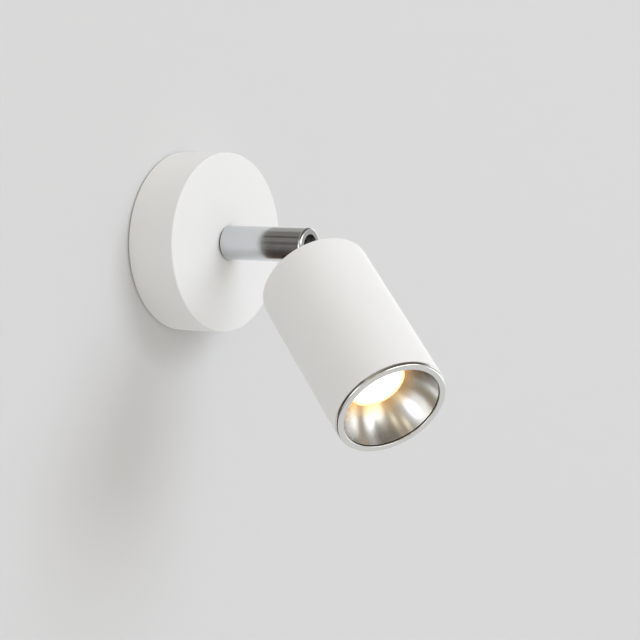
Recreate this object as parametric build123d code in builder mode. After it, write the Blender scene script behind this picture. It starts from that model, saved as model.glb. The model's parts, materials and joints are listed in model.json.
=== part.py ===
"""Wall spotlight: a round canopy, a short swivelling arm and a tilting cylindrical head.

The wall is the plane y = 0, the room lies on its -Y side and +Z is up. The origin is the middle of the
bracket's back face. Reach is the distance from the wall into the room. Lengths are millimetres.
"""

import os
from math import cos, radians, sin, sqrt, tan

from build123d import *

# Pose: the head's turn about the arm, and its tilt out of line with the arm
swivel_angle = 30.8
tilt_angle = 44.4

# Clearances
running_clearance = 0.05
thread_clearance = 0.05
seat_clearance = 0.1
swing_clearance = 0.3

# Canopy
canopy_diameter = 100.0
canopy_depth = 29.5
canopy_wall = 1.6
canopy_edge = 0.8
canopy_crown = 1.0
shadow_gap = 0.9

# Wall bracket
bracket_margin = 4.0
bracket_thickness = 1.5
ear_width = 14.0
ear_length = 13.0
ear_clearance = 0.9
wall_slot_spacing = 60.0
wall_slot_length = 10.0
wall_slot_width = 4.5

# Canopy grub screws
grub_diameter = 4.0
grub_length = 5.6
grub_sink = 0.3
grub_socket = 2.0
grub_socket_depth = 2.5
grub_reach = 8.0

# Cable grommet
cable_x = 22.0
cable_z = 16.0
cable_bore = 9.0
grommet_wall = 2.4
grommet_flange = 2.0
grommet_height = 2.5
grommet_sink = 0.3

# Terminal block
block_x = -4.0
block_z = 26.0
block_width = 17.0
block_depth = 14.0
block_end = 5.5
block_edge = 1.0
pole_count = 3
pole_pitch = 9.5
pole_height = 6.0
clamp_diameter = 4.2
clamp_bore = 2.8
clamp_inset = 1.0
clamp_screw_diameter = 3.0
clamp_screw_sink = 1.0
clamp_screw_tip = 1.2
peg_diameter = 3.0
peg_spacing = 9.0

# Driver
driver_length = 42.0
driver_width = 26.0
driver_height = 19.0
driver_top = -11.0
driver_tab = 7.0
driver_tab_width = 9.0
driver_tab_thickness = 2.5
driver_edge = 1.5

# Small screws of the driver and the LED holder
screw_diameter = 3.0
screw_head_diameter = 5.4
screw_head_height = 1.8
screw_slot_width = 0.8
screw_slot_depth = 0.9
bracket_screw_sink = 0.3

# Earth connection
earth_x = -20.0
earth_z = 8.0
earth_tag_diameter = 8.0
earth_tag_thickness = 0.8
earth_barrel_length = 5.0

# Leads
core_diameter = 2.2
flex_diameter = 3.2
lead_gap = 0.3
driver_lead_level = 11.0
cross_lead_level = 8.5
side_lead_level = 9.5
live_side = 40.0
live_turn = 23.0
live_drop = 4.0
neutral_side = 34.0
neutral_turn = 25.0
neutral_rise = 3.0
output_side = 35.0
output_turn = 16.0
output_drop = 4.0
earth_turn = 15.0
earth_level = 5.5
earth_rise = 4.0
head_lead_run = 10.0
head_lead_turn = 4.0

# Swivel
nipple_diameter = 10.0
nipple_bore = 6.4
nipple_flat = 0.8
nipple_tail = 2.0
arm_washer_thickness = 1.0
arm_seat_margin = 0.6
arm_seat_drop = 0.15
arm_washer_inset = 0.7
inner_washer_thickness = 1.0
inner_washer_diameter = 18.0
stop_washer_thickness = 1.5
stop_tab_length = 4.0
stop_tab_width = 3.0
spring_washer_thickness = 0.6
spring_washer_height = 1.0
lock_nut_width = 14.0
lock_nut_height = 4.0
stop_pin_diameter = 2.5
stop_pin_gap = 0.75
stop_pin_overlap = 0.3

# Arm
arm_diameter = 19.0
arm_wall = 2.0
arm_reach = 86.0
arm_tip_edge = 1.5
arm_tip_lip = 2.5
plug_length = 14.0
plug_cover = 1.0

# Pivot in the arm's end
pivot_inset = 11.2
pocket_wall = 1.55
ball_clearance = 0.3
pin_diameter = 3.5
pin_sink = 0.3
fork_floor = 5.0
wire_slot = 4.2
cup_floor = 1.2
cup_bore = 4.2
cup_spring_thickness = 0.6
cup_spring_height = 1.2

# Neck
neck_length = 30.8
neck_diameter = 7.2
neck_bore = 4.2
neck_thread = 7.0
collar_diameter = 13.0
collar_height = 3.5
collar_edge = 0.6
neck_washer_diameter = 14.0
neck_washer_thickness = 1.0
neck_nut_width = 12.0
neck_nut_height = 5.0
neck_tail = 1.0

# Head housing
head_diameter = 61.0
housing_length = 97.9
housing_wall = 2.0
housing_back = 3.0
housing_edge = 1.5
housing_rim = 0.3
sink_ledge = 1.0

# Light engine
glow_depth = 19.2
diffuser_diameter = 33.2
diffuser_thickness = 2.0
diffuser_ledge = 1.0
holder_height = 8.0
holder_diameter = 46.0
holder_screw_spacing = 39.0
holder_throat = 17.0
holder_counterbore = 6.0
holder_screw_depth = 6.0
pad_thickness = 0.5
board_width = 19.0
board_thickness = 1.0
emitter_diameter = 14.5
emitter_height = 0.8
sink_base = 8.0
sink_fin_length = 28.0
sink_fin_gap = 3.2
sink_fin_pitch = 5.6
sink_fin_margin = 0.9
sink_channel = 6.0
sink_channel_offset = 19.0

# Reflector and bezel
bezel_inset = 0.3
bezel_height = 2.2
bezel_lip = 0.6
bezel_face = 3.7
bezel_spigot = 9.0
bezel_spigot_wall = 1.1
bezel_outer_edge = 1.0
bezel_inner_edge = 0.4
gasket_thickness = 0.8
gasket_setback = 0.15
reflector_reveal = 0.1
reflector_wall = 1.0
reflector_flange = 1.0
reflector_bulge = 1.0

# Places that follow from the sizes above
canopy_radius = canopy_diameter / 2
canopy_inner = canopy_radius - canopy_wall
face_reach = shadow_gap + canopy_depth
inner_face_reach = face_reach - canopy_wall
bracket_radius = canopy_inner - bracket_margin
ear_offset = canopy_inner - ear_clearance
grub_radius = grub_diameter / 2
cable_hole_radius = cable_bore / 2 + grommet_wall
block_height = (pole_count - 1) * pole_pitch + 2 * block_end
pole_places = [block_z + (i - (pole_count - 1) / 2) * pole_pitch for i in range(pole_count)]
pole_reach = bracket_thickness + pole_height
clamp_radius = clamp_diameter / 2
driver_z = driver_top - driver_width / 2
driver_screw_spacing = driver_length + driver_tab
screw_radius = screw_diameter / 2

nipple_radius = nipple_diameter / 2
arm_seat_reach = face_reach + canopy_crown - arm_seat_drop
arm_base_reach = arm_seat_reach + arm_washer_thickness
stop_washer_reach = inner_face_reach - inner_washer_thickness
spring_washer_reach = stop_washer_reach - stop_washer_thickness
lock_nut_reach = spring_washer_reach - spring_washer_height
nipple_reach = lock_nut_reach - lock_nut_height - nipple_tail
stop_pin_radius = inner_washer_diameter / 2 + stop_pin_gap + stop_pin_diameter / 2
flat_offset = nipple_radius - nipple_flat

arm_radius = arm_diameter / 2
core_radius = arm_radius - arm_wall
plug_end_reach = arm_base_reach + plug_length
pivot_reach = arm_reach - pivot_inset
fork_front_reach = arm_reach - arm_tip_lip
pocket_radius = core_radius - pocket_wall
ball_radius = pocket_radius - ball_clearance
pin_radius = pin_diameter / 2
neck_radius = neck_diameter / 2
slot_radius = neck_radius + swing_clearance
cup_front = -slot_radius
cup_back = -(ball_radius + cup_floor)
pocket_floor = cup_back - cup_spring_height
fork_rear = pocket_floor - fork_floor

neck_end = housing_back + neck_washer_thickness + neck_nut_height + neck_tail
bezel_front = housing_length + bezel_height
bezel_seat = bezel_front - bezel_lip
reflector_top = bezel_seat - gasket_thickness
diffuser_front = bezel_front - glow_depth
diffuser_rear = diffuser_front - diffuser_thickness
diffuser_radius = diffuser_diameter / 2
holder_radius = holder_diameter / 2
sink_face = diffuser_rear - holder_height
sink_seat = sink_face - sink_base
board_rear = sink_face + pad_thickness
board_front = board_rear + board_thickness
housing_radius = head_diameter / 2
housing_bore = housing_radius - housing_wall
housing_rear_bore = housing_bore - sink_ledge
bezel_radius = housing_radius - bezel_inset
opening_radius = bezel_radius - bezel_face
spigot_radius = housing_bore - seat_clearance
bezel_recess = spigot_radius - bezel_spigot_wall
mouth_radius = opening_radius - reflector_reveal
throat_radius = diffuser_radius - diffuser_ledge

# Frames: x is the hinge line, z runs along the arm or along the head
swivel = radians(swivel_angle)
tilt = radians(tilt_angle)
wall_frame = Plane.XZ
plate_front = wall_frame.offset(bracket_thickness)
arm_frame = Plane((0, 0, 0), x_dir=(cos(swivel), 0, -sin(swivel)), z_dir=(0, -1, 0))
pivot_frame = arm_frame.offset(pivot_reach)
head_axis = arm_frame.z_dir * cos(tilt) - arm_frame.y_dir * sin(tilt)
knuckle_frame = Plane(pivot_frame.origin, x_dir=arm_frame.x_dir, z_dir=head_axis)
head_frame = knuckle_frame.offset(neck_length)
hinge_frame = Plane(pivot_frame.origin, x_dir=arm_frame.z_dir, z_dir=arm_frame.x_dir)


def section(frame):
    """Half-section plane of a frame: x is the radius and y runs along the frame's axis."""
    return Plane(frame.origin, x_dir=frame.x_dir, z_dir=-frame.y_dir)


def centre_line(frame):
    return Axis(frame.origin, frame.z_dir)


def turned(frame, outline):
    """Solid of revolution from (radius, height) points about the frame's axis."""
    with BuildPart() as piece:
        with BuildSketch(section(frame)):
            with BuildLine():
                Polyline(*outline, close=True)
            make_face()
        revolve(axis=centre_line(frame))
    return piece


def cone_washer(frame, inner, outer, thickness, height):
    """Conical spring washer: its outer edge lies on the frame, its inner edge stands at the height."""
    outline = [(outer, 0), (outer, thickness), (inner, height), (inner, height - thickness)]
    return turned(frame, outline)


def bend_radii(points, share=0.45):
    """The largest round for each corner that leaves its neighbours room."""
    radii = []
    for before, corner, after in zip(points, points[1:], points[2:]):
        arriving = Vector(*corner) - Vector(*before)
        leaving = Vector(*after) - Vector(*corner)
        half_turn = radians(arriving.get_angle(leaving)) / 2
        radii.append(share * min(arriving.length, leaving.length) / tan(half_turn))
    return radii


def lead(points, diameter):
    """Round lead along rounded runs."""
    with BuildPart() as piece:
        with BuildLine() as route:
            FilletPolyline(*points, radius=bend_radii(points))
        with BuildSketch(Plane(route.line @ 0, z_dir=route.line % 0)):
            Circle(diameter / 2)
        sweep(path=route.line)
    return piece


# Canopy
with BuildPart() as canopy:
    with BuildSketch(wall_frame.offset(shadow_gap)):
        Circle(canopy_radius)
    extrude(amount=canopy_depth)
    offset(amount=-canopy_wall, openings=canopy.faces().sort_by(Axis.Y)[-1])
    fillet(canopy.faces().sort_by(Axis.Y)[0].edges(), canopy_edge)
    with BuildSketch(section(wall_frame)):
        with BuildLine():
            crown_edge = (canopy_radius - canopy_edge, face_reach)
            crown_top = (0, face_reach + canopy_crown)
            TangentArc(crown_top, crown_edge, tangent=(1, 0))
            Polyline(crown_edge, (0, face_reach), crown_top)
        make_face()
    revolve(axis=centre_line(wall_frame))
    with BuildSketch(wall_frame.offset(arm_seat_reach)):
        Circle(arm_radius + arm_seat_margin)
    extrude(amount=canopy_crown, mode=Mode.SUBTRACT)
    with BuildSketch(wall_frame.offset(arm_seat_reach)):
        Circle(nipple_radius + running_clearance)
    extrude(amount=inner_face_reach - arm_seat_reach, mode=Mode.SUBTRACT)
    with BuildSketch(Plane.XY):
        with Locations((0, -grub_reach)):
            Circle(grub_radius + seat_clearance)
    extrude(amount=canopy_radius, both=True, mode=Mode.SUBTRACT)

# Wall bracket
with BuildPart() as wall_bracket:
    with BuildSketch(wall_frame):
        Circle(bracket_radius)
        Rectangle(ear_width, 2 * ear_offset)
        with Locations((cable_x, cable_z)):
            Circle(cable_hole_radius, mode=Mode.SUBTRACT)
        with GridLocations(wall_slot_spacing, 0, 2, 1):
            SlotOverall(wall_slot_length, wall_slot_width, mode=Mode.SUBTRACT)
        with Locations((block_x, block_z)):
            with GridLocations(0, peg_spacing, 1, 2):
                Circle(peg_diameter / 2 + seat_clearance, mode=Mode.SUBTRACT)
        with Locations((0, driver_z)):
            with GridLocations(driver_screw_spacing, 0, 2, 1):
                Circle(screw_radius + thread_clearance, mode=Mode.SUBTRACT)
        with Locations((earth_x, earth_z)):
            Circle(screw_radius + thread_clearance, mode=Mode.SUBTRACT)
    extrude(amount=bracket_thickness)
    with BuildSketch(wall_frame):
        with GridLocations(0, 2 * ear_offset - bracket_thickness, 1, 2):
            Rectangle(ear_width, bracket_thickness)
    extrude(amount=ear_length)
    for ear_edges in (wall_bracket.edges().group_by(Axis.Z)[0], wall_bracket.edges().group_by(Axis.Z)[-1]):
        fillet(ear_edges.sort_by(Axis.Y)[-1], bracket_thickness)
    with BuildSketch(Plane.XY):
        with Locations((0, -grub_reach)):
            Circle(grub_radius + thread_clearance)
    extrude(amount=canopy_radius, both=True, mode=Mode.SUBTRACT)

# Grub screws through the canopy into the ears
with BuildPart() as canopy_screws:
    for side in (1, -1):
        outer_end = Plane((0, -grub_reach, side * (canopy_radius - grub_sink)), z_dir=(0, 0, -side))
        with BuildSketch(outer_end):
            Circle(grub_radius)
        extrude(amount=grub_length)
        with BuildSketch(outer_end):
            RegularPolygon(grub_socket / sqrt(3), 6)
        extrude(amount=grub_socket_depth, mode=Mode.SUBTRACT)

# Cable grommet
with BuildPart() as cable_grommet:
    with BuildSketch(wall_frame.offset(grommet_sink)):
        with Locations((cable_x, cable_z)):
            Circle(cable_hole_radius - seat_clearance)
    extrude(amount=bracket_thickness - grommet_sink)
    with BuildSketch(plate_front):
        with Locations((cable_x, cable_z)):
            Circle(cable_hole_radius + grommet_flange)
    extrude(amount=grommet_height)
    fillet(cable_grommet.faces().sort_by(Axis.Y)[0].edges(), grommet_flange / 2)
    with BuildSketch(wall_frame):
        with Locations((cable_x, cable_z)):
            Circle(cable_bore / 2)
    extrude(amount=bracket_thickness + grommet_height, mode=Mode.SUBTRACT)

# Terminal block with its brass clamps and screws
with BuildPart() as terminal_block:
    with BuildSketch(plate_front):
        with Locations((block_x, block_z)):
            RectangleRounded(block_width, block_height, block_edge)
    extrude(amount=block_depth)
    with BuildSketch(plate_front):
        with Locations((block_x, block_z)):
            with GridLocations(0, peg_spacing, 1, 2):
                Circle(peg_diameter / 2)
    extrude(amount=grommet_sink - bracket_thickness)
    with BuildSketch(Plane.YZ.offset(block_x)):
        with Locations(*[(-pole_reach, z) for z in pole_places]):
            Circle(clamp_radius + seat_clearance)
    extrude(amount=block_width / 2, both=True, mode=Mode.SUBTRACT)
    with BuildSketch(plate_front.offset(block_depth)):
        with Locations(*[(block_x, z) for z in pole_places]):
            Circle(clamp_screw_diameter / 2 + swing_clearance)
    extrude(amount=pole_height - block_depth, mode=Mode.SUBTRACT)

with BuildPart() as terminal_clamps:
    with BuildSketch(Plane.YZ.offset(block_x)):
        with Locations(*[(-pole_reach, z) for z in pole_places]):
            Circle(clamp_radius)
            Circle(clamp_bore / 2, mode=Mode.SUBTRACT)
    extrude(amount=block_width / 2 - clamp_inset, both=True)
    with BuildSketch(wall_frame.offset(pole_reach)):
        with Locations(*[(block_x, z) for z in pole_places]):
            Circle(clamp_screw_diameter / 2 + thread_clearance)
    extrude(amount=clamp_diameter, mode=Mode.SUBTRACT)

with BuildPart() as terminal_screws:
    clamp_screw_top = plate_front.offset(block_depth - clamp_screw_sink)
    with BuildSketch(clamp_screw_top):
        with Locations(*[(block_x, z) for z in pole_places]):
            Circle(clamp_screw_diameter / 2)
    extrude(amount=pole_height + clamp_screw_tip - block_depth + clamp_screw_sink)
    with BuildSketch(clamp_screw_top):
        with Locations(*[(block_x, z) for z in pole_places]):
            Rectangle(clamp_screw_diameter, screw_slot_width)
    extrude(amount=-screw_slot_depth, mode=Mode.SUBTRACT)

# Driver on the bracket
with BuildPart() as led_driver:
    with BuildSketch(plate_front):
        with Locations((0, driver_z)):
            RectangleRounded(driver_length, driver_width, driver_edge)
    extrude(amount=driver_height)
    fillet(led_driver.faces().sort_by(Axis.Y)[0].edges(), driver_edge / 2)
    with BuildSketch(plate_front):
        with Locations((0, driver_z)):
            SlotOverall(driver_length + 2 * driver_tab, driver_tab_width)
    extrude(amount=driver_tab_thickness)
    with BuildSketch(plate_front):
        with Locations((0, driver_z)):
            with GridLocations(driver_screw_spacing, 0, 2, 1):
                Circle(screw_radius + seat_clearance)
    extrude(amount=driver_tab_thickness, mode=Mode.SUBTRACT)

with BuildPart() as driver_screws:
    tab_front = plate_front.offset(driver_tab_thickness)
    with BuildSketch(tab_front):
        with Locations((0, driver_z)):
            with GridLocations(driver_screw_spacing, 0, 2, 1):
                Circle(screw_head_diameter / 2)
    extrude(amount=screw_head_height)
    with BuildSketch(tab_front):
        with Locations((0, driver_z)):
            with GridLocations(driver_screw_spacing, 0, 2, 1):
                Circle(screw_radius)
    extrude(amount=bracket_screw_sink - bracket_thickness - driver_tab_thickness)
    with BuildSketch(tab_front.offset(screw_head_height)):
        with Locations((0, driver_z)):
            with GridLocations(driver_screw_spacing, 0, 2, 1):
                Rectangle(screw_head_diameter, screw_slot_width)
    extrude(amount=-screw_slot_depth, mode=Mode.SUBTRACT)

# Earth connection
with BuildPart() as earth_tag:
    with BuildSketch(plate_front):
        with Locations((earth_x, earth_z)):
            Circle(earth_tag_diameter / 2)
            Circle(screw_radius + seat_clearance, mode=Mode.SUBTRACT)
    extrude(amount=earth_tag_thickness)
    barrel_radius = core_diameter / 2 + earth_tag_thickness / 2
    barrel_start = earth_z + earth_tag_diameter / 2 - earth_tag_thickness
    barrel_frame = Plane((earth_x, -bracket_thickness - barrel_radius, barrel_start), z_dir=(0, 0, 1))
    with BuildSketch(barrel_frame):
        Circle(barrel_radius)
    extrude(amount=earth_barrel_length)

with BuildPart() as earth_screw:
    with BuildSketch(plate_front.offset(earth_tag_thickness)):
        with Locations((earth_x, earth_z)):
            Circle(screw_head_diameter / 2)
    extrude(amount=screw_head_height)
    with BuildSketch(wall_frame.offset(bracket_screw_sink)):
        with Locations((earth_x, earth_z)):
            Circle(screw_radius)
    extrude(amount=bracket_thickness + earth_tag_thickness - bracket_screw_sink)
    with BuildSketch(plate_front.offset(earth_tag_thickness + screw_head_height)):
        with Locations((earth_x, earth_z)):
            Rectangle(screw_head_diameter, screw_slot_width)
    extrude(amount=-screw_slot_depth, mode=Mode.SUBTRACT)

# Leads inside the canopy
clamp_x = block_x - block_width / 4
driver_end = driver_length / 2
barrel_end = barrel_frame.offset(earth_barrel_length).origin
earth_lead = lead(
    [
        (clamp_x, -pole_reach, pole_places[0]),
        (-earth_turn, -pole_reach, pole_places[0]),
        (earth_x, -earth_level, pole_places[0] + earth_rise),
        (barrel_end.X, barrel_end.Y, barrel_end.Z + earth_rise),
        (barrel_end.X, barrel_end.Y, barrel_end.Z),
    ],
    core_diameter,
)

live_end = driver_z - live_drop
neutral_end = driver_z + neutral_rise
live_route = [
    (clamp_x, -pole_reach, pole_places[2]),
    (-live_turn, -cross_lead_level, pole_places[2]),
    (-live_side, -side_lead_level, pole_places[0] - neutral_rise),
    (-live_side + live_drop, -driver_lead_level, live_end),
    (-driver_end, -driver_lead_level, live_end),
]
neutral_route = [
    (clamp_x, -pole_reach, pole_places[1]),
    (-neutral_turn, -cross_lead_level, pole_places[1]),
    (-neutral_side, -side_lead_level, earth_z),
    (-neutral_side + neutral_rise, -driver_lead_level, neutral_end),
    (-driver_end, -driver_lead_level, neutral_end),
]
with BuildPart() as supply_leads:
    for route_points in (live_route, neutral_route):
        add(lead(route_points, core_diameter).part)

driver_lead = lead(
    [
        (driver_end, -driver_lead_level, driver_z),
        (output_side, -driver_lead_level, driver_z),
        (output_side, -side_lead_level, -output_drop),
        (output_turn, -cross_lead_level, 0),
        (0, -cross_lead_level, 0),
        (0, nipple_tail / 2 - nipple_reach, 0),
    ],
    flex_diameter,
)

# Stop pin inside the canopy
with BuildPart() as swivel_stop_pin:
    with BuildSketch(wall_frame.offset(inner_face_reach)):
        with Locations((0, stop_pin_radius)):
            Circle(stop_pin_diameter / 2)
    extrude(amount=-(inner_washer_thickness + stop_washer_thickness + stop_pin_overlap))

# Swivel stack on the nipple, from the canopy's inner face back to the nut
with BuildPart() as arm_washer:
    with BuildSketch(arm_frame.offset(arm_seat_reach)):
        Circle(arm_radius - arm_washer_inset)
        Circle(nipple_radius + seat_clearance, mode=Mode.SUBTRACT)
    extrude(amount=arm_washer_thickness)

with BuildPart() as inner_washer:
    with BuildSketch(arm_frame.offset(stop_washer_reach)):
        Circle(inner_washer_diameter / 2)
        Circle(nipple_radius + seat_clearance, mode=Mode.SUBTRACT)
    extrude(amount=inner_washer_thickness)

with BuildPart() as stop_washer:
    with BuildSketch(arm_frame.offset(spring_washer_reach)):
        Circle(inner_washer_diameter / 2)
        tab_reach = inner_washer_diameter / 2 + stop_tab_length
        Rectangle(stop_tab_width, tab_reach, align=(Align.CENTER, Align.MAX))
        Circle(nipple_radius + seat_clearance, mode=Mode.SUBTRACT)
    extrude(amount=stop_washer_thickness)
    with BuildSketch(arm_frame.offset(spring_washer_reach)):
        Circle(nipple_radius + seat_clearance)
        with Locations((0, flat_offset + seat_clearance)):
            Rectangle(
                nipple_diameter,
                nipple_diameter,
                align=(Align.CENTER, Align.MIN),
                mode=Mode.INTERSECT,
            )
    extrude(amount=stop_washer_thickness)

spring_washer = cone_washer(
    arm_frame.offset(spring_washer_reach - spring_washer_height),
    nipple_radius + swing_clearance,
    inner_washer_diameter / 2 - swing_clearance,
    spring_washer_thickness,
    spring_washer_height,
)

with BuildPart() as lock_nut:
    with BuildSketch(arm_frame.offset(lock_nut_reach - lock_nut_height)):
        RegularPolygon(lock_nut_width / sqrt(3), 6)
        Circle(nipple_radius + thread_clearance, mode=Mode.SUBTRACT)
    extrude(amount=lock_nut_height)

with BuildPart() as arm_nipple:
    with BuildSketch(arm_frame.offset(nipple_reach)):
        Circle(nipple_radius)
        Circle(nipple_bore / 2, mode=Mode.SUBTRACT)
    extrude(amount=plug_end_reach - plug_cover - nipple_reach)
    with BuildSketch(arm_frame.offset(nipple_reach)):
        with Locations((0, flat_offset + nipple_radius)):
            Rectangle(nipple_diameter, nipple_diameter)
    extrude(amount=stop_washer_reach - nipple_reach, mode=Mode.SUBTRACT)

# Arm
with BuildPart() as arm_plug:
    with BuildSketch(arm_frame.offset(arm_base_reach)):
        Circle(core_radius)
        Circle(nipple_radius + thread_clearance, mode=Mode.SUBTRACT)
    extrude(amount=plug_length)

with BuildPart() as arm_sleeve:
    with BuildSketch(arm_frame.offset(arm_base_reach)):
        Circle(arm_radius)
    extrude(amount=arm_reach - arm_base_reach)
    fillet(arm_sleeve.faces().sort_by(Axis.Y)[0].edges(), arm_tip_edge)
    with BuildSketch(arm_frame.offset(arm_base_reach)):
        Circle(core_radius + thread_clearance)
    extrude(amount=fork_front_reach - arm_base_reach, mode=Mode.SUBTRACT)
    with BuildSketch(arm_frame.offset(fork_front_reach)):
        Circle(pocket_radius)
    extrude(amount=arm_tip_lip, mode=Mode.SUBTRACT)
    with BuildSketch(Plane(pivot_frame.origin, x_dir=arm_frame.z_dir, z_dir=-arm_frame.y_dir)):
        Circle(slot_radius)
        Rectangle(pivot_inset, 2 * slot_radius, align=(Align.MIN, Align.CENTER))
    extrude(amount=arm_radius, mode=Mode.SUBTRACT)

with BuildPart() as hinge_fork:
    with BuildSketch(pivot_frame.offset(fork_rear)):
        Circle(core_radius)
    extrude(amount=fork_front_reach - pivot_reach - fork_rear)
    with BuildSketch(pivot_frame.offset(pocket_floor)):
        Circle(pocket_radius)
    extrude(amount=pivot_inset - pocket_floor, mode=Mode.SUBTRACT)
    with BuildSketch(pivot_frame.offset(fork_rear)):
        Circle(nipple_bore / 2)
    extrude(amount=fork_floor, mode=Mode.SUBTRACT)
    with BuildSketch(Plane(pivot_frame.origin, x_dir=arm_frame.z_dir, z_dir=-arm_frame.y_dir)):
        Circle(slot_radius)
        Rectangle(pivot_inset, 2 * slot_radius, align=(Align.MIN, Align.CENTER))
    extrude(amount=arm_radius, mode=Mode.SUBTRACT)
    with BuildSketch(hinge_frame):
        Circle(pin_radius + thread_clearance)
    extrude(amount=arm_radius, both=True, mode=Mode.SUBTRACT)

# Pivot: pins, seat and spring behind the ball
with BuildPart() as pivot_pins:
    for side in (1, -1):
        with BuildSketch(hinge_frame.offset(side * (core_radius - pin_sink))):
            Circle(pin_radius)
        extrude(amount=-side * (core_radius - pin_sink - wire_slot / 2 - swing_clearance))

with BuildPart(pivot_frame) as friction_cup:
    with BuildSketch(pivot_frame.offset(cup_back)):
        Circle(pocket_radius - seat_clearance)
        Circle(cup_bore / 2, mode=Mode.SUBTRACT)
    extrude(amount=cup_front - cup_back)
    Sphere(ball_radius + running_clearance, mode=Mode.SUBTRACT)

cup_spring = cone_washer(
    pivot_frame.offset(pocket_floor),
    cup_bore / 2 + seat_clearance,
    pocket_radius - swing_clearance,
    cup_spring_thickness,
    cup_spring_height,
)

# Lead through the arm, up to the pivot
with BuildPart() as arm_lead:
    with BuildSketch(arm_frame.offset(nipple_reach - nipple_tail / 2)):
        Circle(flex_diameter / 2)
    extrude(amount=pivot_reach - flex_diameter / 2 - lead_gap - nipple_reach + nipple_tail / 2)

# Knuckle and neck
with BuildPart(knuckle_frame) as knuckle:
    Sphere(ball_radius)
    with BuildSketch(knuckle_frame):
        Circle(neck_radius)
    extrude(amount=neck_length - collar_height)
    with BuildSketch(head_frame.offset(-collar_height)):
        Circle(neck_thread / 2)
    extrude(amount=collar_height + neck_end)
    with BuildSketch(knuckle_frame):
        Circle(neck_bore / 2)
    extrude(amount=neck_length + neck_end, mode=Mode.SUBTRACT)
    with Locations((0, wire_slot / 2, wire_slot / 2)):
        Box(
            wire_slot,
            ball_radius + wire_slot,
            ball_radius + wire_slot,
            align=(Align.CENTER, Align.MAX, Align.MAX),
            mode=Mode.SUBTRACT,
        )
    with BuildSketch(hinge_frame):
        Circle(pin_radius + running_clearance)
    extrude(amount=ball_radius, both=True, mode=Mode.SUBTRACT)

with BuildPart() as neck_collar:
    with BuildSketch(head_frame):
        Circle(collar_diameter / 2)
    extrude(amount=-collar_height)
    fillet(neck_collar.faces().sort_by(centre_line(head_frame))[0].edges(), collar_edge)
    with BuildSketch(head_frame):
        Circle(neck_thread / 2 + thread_clearance)
    extrude(amount=-collar_height, mode=Mode.SUBTRACT)

with BuildPart() as neck_washer:
    with BuildSketch(head_frame.offset(housing_back)):
        Circle(neck_washer_diameter / 2)
        Circle(neck_thread / 2 + seat_clearance, mode=Mode.SUBTRACT)
    extrude(amount=neck_washer_thickness)

with BuildPart() as neck_nut:
    with BuildSketch(head_frame.offset(housing_back + neck_washer_thickness)):
        RegularPolygon(neck_nut_width / sqrt(3), 6)
        Circle(neck_thread / 2 + thread_clearance, mode=Mode.SUBTRACT)
    extrude(amount=neck_nut_height)

# Housing
with BuildPart() as housing:
    with BuildSketch(head_frame):
        Circle(housing_radius)
    extrude(amount=housing_length)
    fillet(housing.faces().sort_by(centre_line(head_frame))[0].edges(), housing_edge)
    chamfer(housing.faces().sort_by(centre_line(head_frame))[-1].edges(), housing_rim)
    with BuildSketch(head_frame.offset(housing_back)):
        Circle(housing_rear_bore)
    extrude(amount=housing_length - housing_back, mode=Mode.SUBTRACT)
    with BuildSketch(head_frame.offset(sink_seat)):
        Circle(housing_bore)
    extrude(amount=housing_length - sink_seat, mode=Mode.SUBTRACT)
    with BuildSketch(head_frame):
        Circle(neck_thread / 2 + seat_clearance)
    extrude(amount=housing_back, mode=Mode.SUBTRACT)

# Heat sink
with BuildPart() as heat_sink:
    with BuildSketch(head_frame.offset(sink_seat)):
        Circle(housing_bore - seat_clearance)
    extrude(amount=sink_base)
    fin_radius = housing_rear_bore - sink_fin_margin
    with BuildSketch(head_frame.offset(sink_seat)):
        Circle(fin_radius)
        gap_count = 2 * int(fin_radius / sink_fin_pitch)
        with GridLocations(sink_fin_pitch, 0, gap_count, 1):
            Rectangle(sink_fin_gap, 2 * fin_radius, mode=Mode.SUBTRACT)
    extrude(amount=-sink_fin_length)
    with BuildSketch(head_frame.offset(sink_seat - sink_fin_length)):
        with Locations((0, -sink_channel_offset)):
            Circle(sink_channel / 2)
    extrude(amount=sink_fin_length + sink_base, mode=Mode.SUBTRACT)
    with BuildSketch(head_frame.offset(sink_face)):
        with GridLocations(holder_screw_spacing, 0, 2, 1):
            Circle(screw_radius + thread_clearance)
    extrude(amount=-holder_screw_depth, mode=Mode.SUBTRACT)

# Light source
with BuildPart() as thermal_pad:
    with BuildSketch(head_frame.offset(sink_face)):
        Rectangle(board_width, board_width)
    extrude(amount=pad_thickness)

with BuildPart() as led_board:
    with BuildSketch(head_frame.offset(board_rear)):
        Rectangle(board_width, board_width)
    extrude(amount=board_thickness)

with BuildPart() as led_emitter:
    with BuildSketch(head_frame.offset(board_front)):
        Circle(emitter_diameter / 2)
    extrude(amount=emitter_height)

with BuildPart() as led_holder:
    with BuildSketch(section(head_frame)):
        with BuildLine():
            Polyline(
                (holder_throat / 2, board_front),
                (throat_radius, diffuser_rear),
                (diffuser_radius + seat_clearance, diffuser_rear),
                (diffuser_radius + seat_clearance, diffuser_front),
                (holder_radius, diffuser_front),
                (holder_radius, sink_face),
                (holder_throat / 2, sink_face),
                close=True,
            )
        make_face()
    revolve(axis=centre_line(head_frame))
    with BuildSketch(head_frame.offset(sink_face)):
        Rectangle(board_width + 2 * seat_clearance, board_width + 2 * seat_clearance)
    extrude(amount=pad_thickness + board_thickness, mode=Mode.SUBTRACT)
    with BuildSketch(head_frame.offset(sink_face)):
        with GridLocations(holder_screw_spacing, 0, 2, 1):
            Circle(screw_radius + seat_clearance)
    extrude(amount=holder_height + diffuser_thickness, mode=Mode.SUBTRACT)
    with BuildSketch(head_frame.offset(diffuser_front)):
        with GridLocations(holder_screw_spacing, 0, 2, 1):
            Circle(screw_head_diameter / 2 + swing_clearance)
    extrude(amount=-holder_counterbore, mode=Mode.SUBTRACT)

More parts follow.
